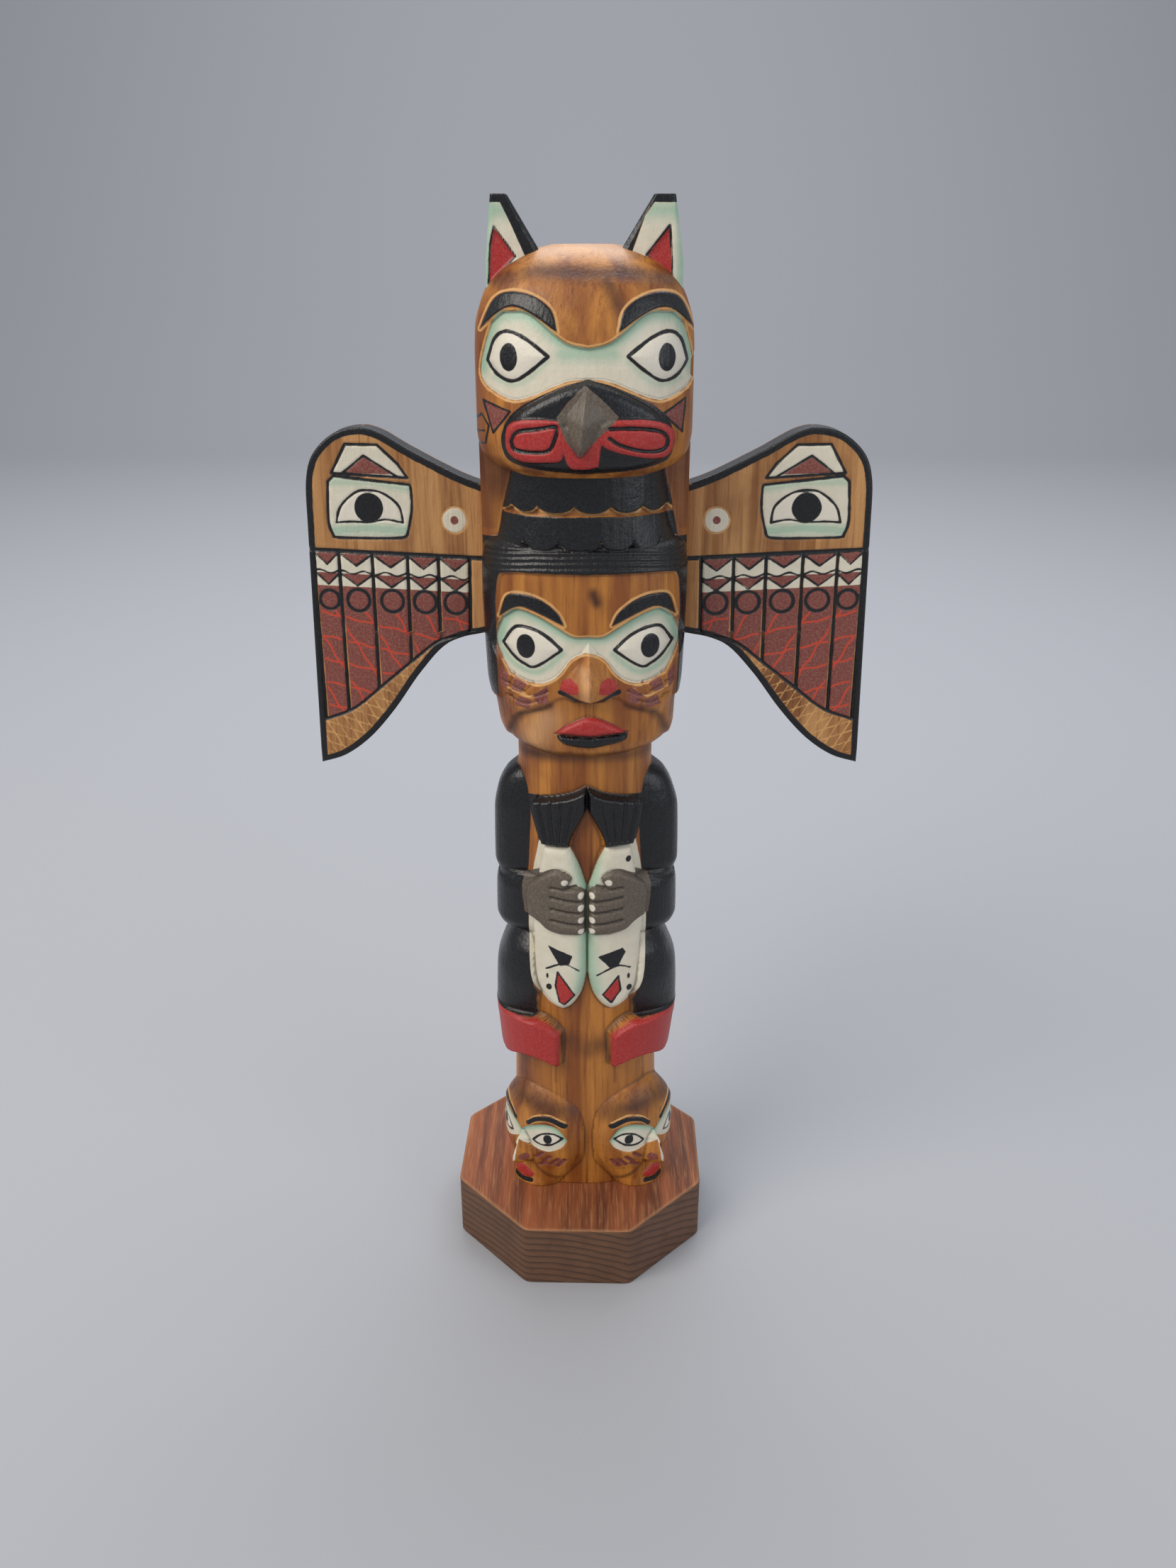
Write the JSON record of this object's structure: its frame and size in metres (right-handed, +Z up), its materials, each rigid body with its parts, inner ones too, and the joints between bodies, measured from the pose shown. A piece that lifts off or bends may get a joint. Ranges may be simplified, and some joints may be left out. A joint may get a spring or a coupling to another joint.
{
  "type": "carved totem pole",
  "caption": "Small carved and painted wooden totem pole: a winged eagle above a man holding fish, standing on an octagonal wooden plinth.",
  "frame": {"origin": "centre of the bounding box at the underside of the plinth", "axes": "+Z up along the pole, the figures face -Y, +X towards the viewer's right"},
  "size_m": [0.1802, 0.0898, 0.3534],
  "materials": {
    "painted_cedar": "amber stain and brushed paint under satin varnish",
    "painted_board": "amber stain and brushed paint under satin varnish",
    "plinth_wood": "red-brown cedar board, oiled top and rough-sawn sides"
  },
  "bodies": {
    "root": {"pole": "painted_cedar", "left_wing": "painted_board", "right_wing": "painted_board", "base": "plinth_wood"}
  },
  "joints": []
}
